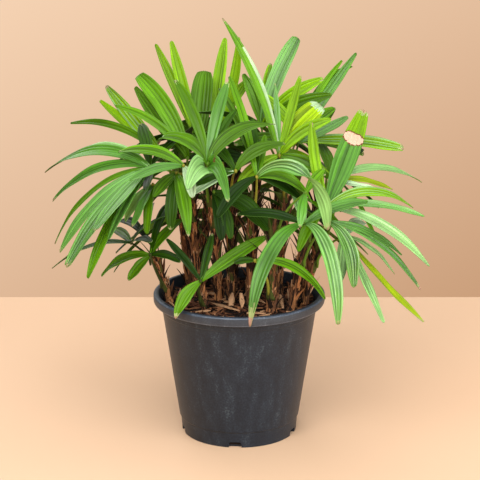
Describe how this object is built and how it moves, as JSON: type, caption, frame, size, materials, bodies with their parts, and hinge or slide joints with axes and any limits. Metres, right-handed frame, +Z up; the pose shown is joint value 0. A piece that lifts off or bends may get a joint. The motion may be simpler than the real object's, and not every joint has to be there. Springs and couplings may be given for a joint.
{
  "type": "potted lady palm",
  "caption": "Clump-forming fan palm with slender fibrous canes and blunt drooping leaflets, standing in a round black nursery pot.",
  "frame": {"origin": "centre of the pot's flat underside", "axes": "+Z up, -Y towards the front of the plant, +X to its right as seen from the front"},
  "size_m": [0.4513, 0.3604, 0.4961],
  "materials": {
    "pot": "matt black moulded plastic, lightly scuffed",
    "soil": "bark mulch with dry sheath scraps",
    "cane": "brown woven sheath fibre",
    "leaf": "satin green, finely ribbed"
  },
  "bodies": {
    "root": {"pot": "pot", "soil": "soil", "cane_01": "cane", "cane_02": "cane", "cane_03": "cane", "cane_04": "cane", "cane_05": "cane", "cane_06": "cane", "cane_07": "cane", "cane_08": "cane", "cane_09": "cane", "cane_10": "cane", "cane_11": "cane", "cane_12": "cane", "cane_13": "cane", "cane_14": "cane", "cane_15": "cane", "cane_16": "cane", "frond_01": "leaf", "frond_02": "leaf", "frond_03": "leaf", "frond_04": "leaf", "frond_05": "leaf", "frond_06": "leaf", "frond_07": "leaf", "frond_08": "leaf", "frond_09": "leaf", "frond_10": "leaf", "frond_11": "leaf", "frond_12": "leaf", "frond_13": "leaf", "frond_14": "leaf", "frond_15": "leaf", "frond_16": "leaf", "frond_17": "leaf", "frond_18": "leaf", "frond_19": "leaf", "frond_20": "leaf", "frond_21": "leaf", "frond_22": "leaf", "frond_23": "leaf", "frond_24": "leaf", "frond_25": "leaf", "frond_26": "leaf", "frond_27": "leaf", "frond_28": "leaf", "frond_29": "leaf", "frond_30": "leaf", "frond_31": "leaf", "frond_32": "leaf", "frond_33": "leaf", "frond_34": "leaf", "frond_35": "leaf", "frond_36": "leaf", "frond_37": "leaf", "frond_38": "leaf"}
  },
  "joints": []
}
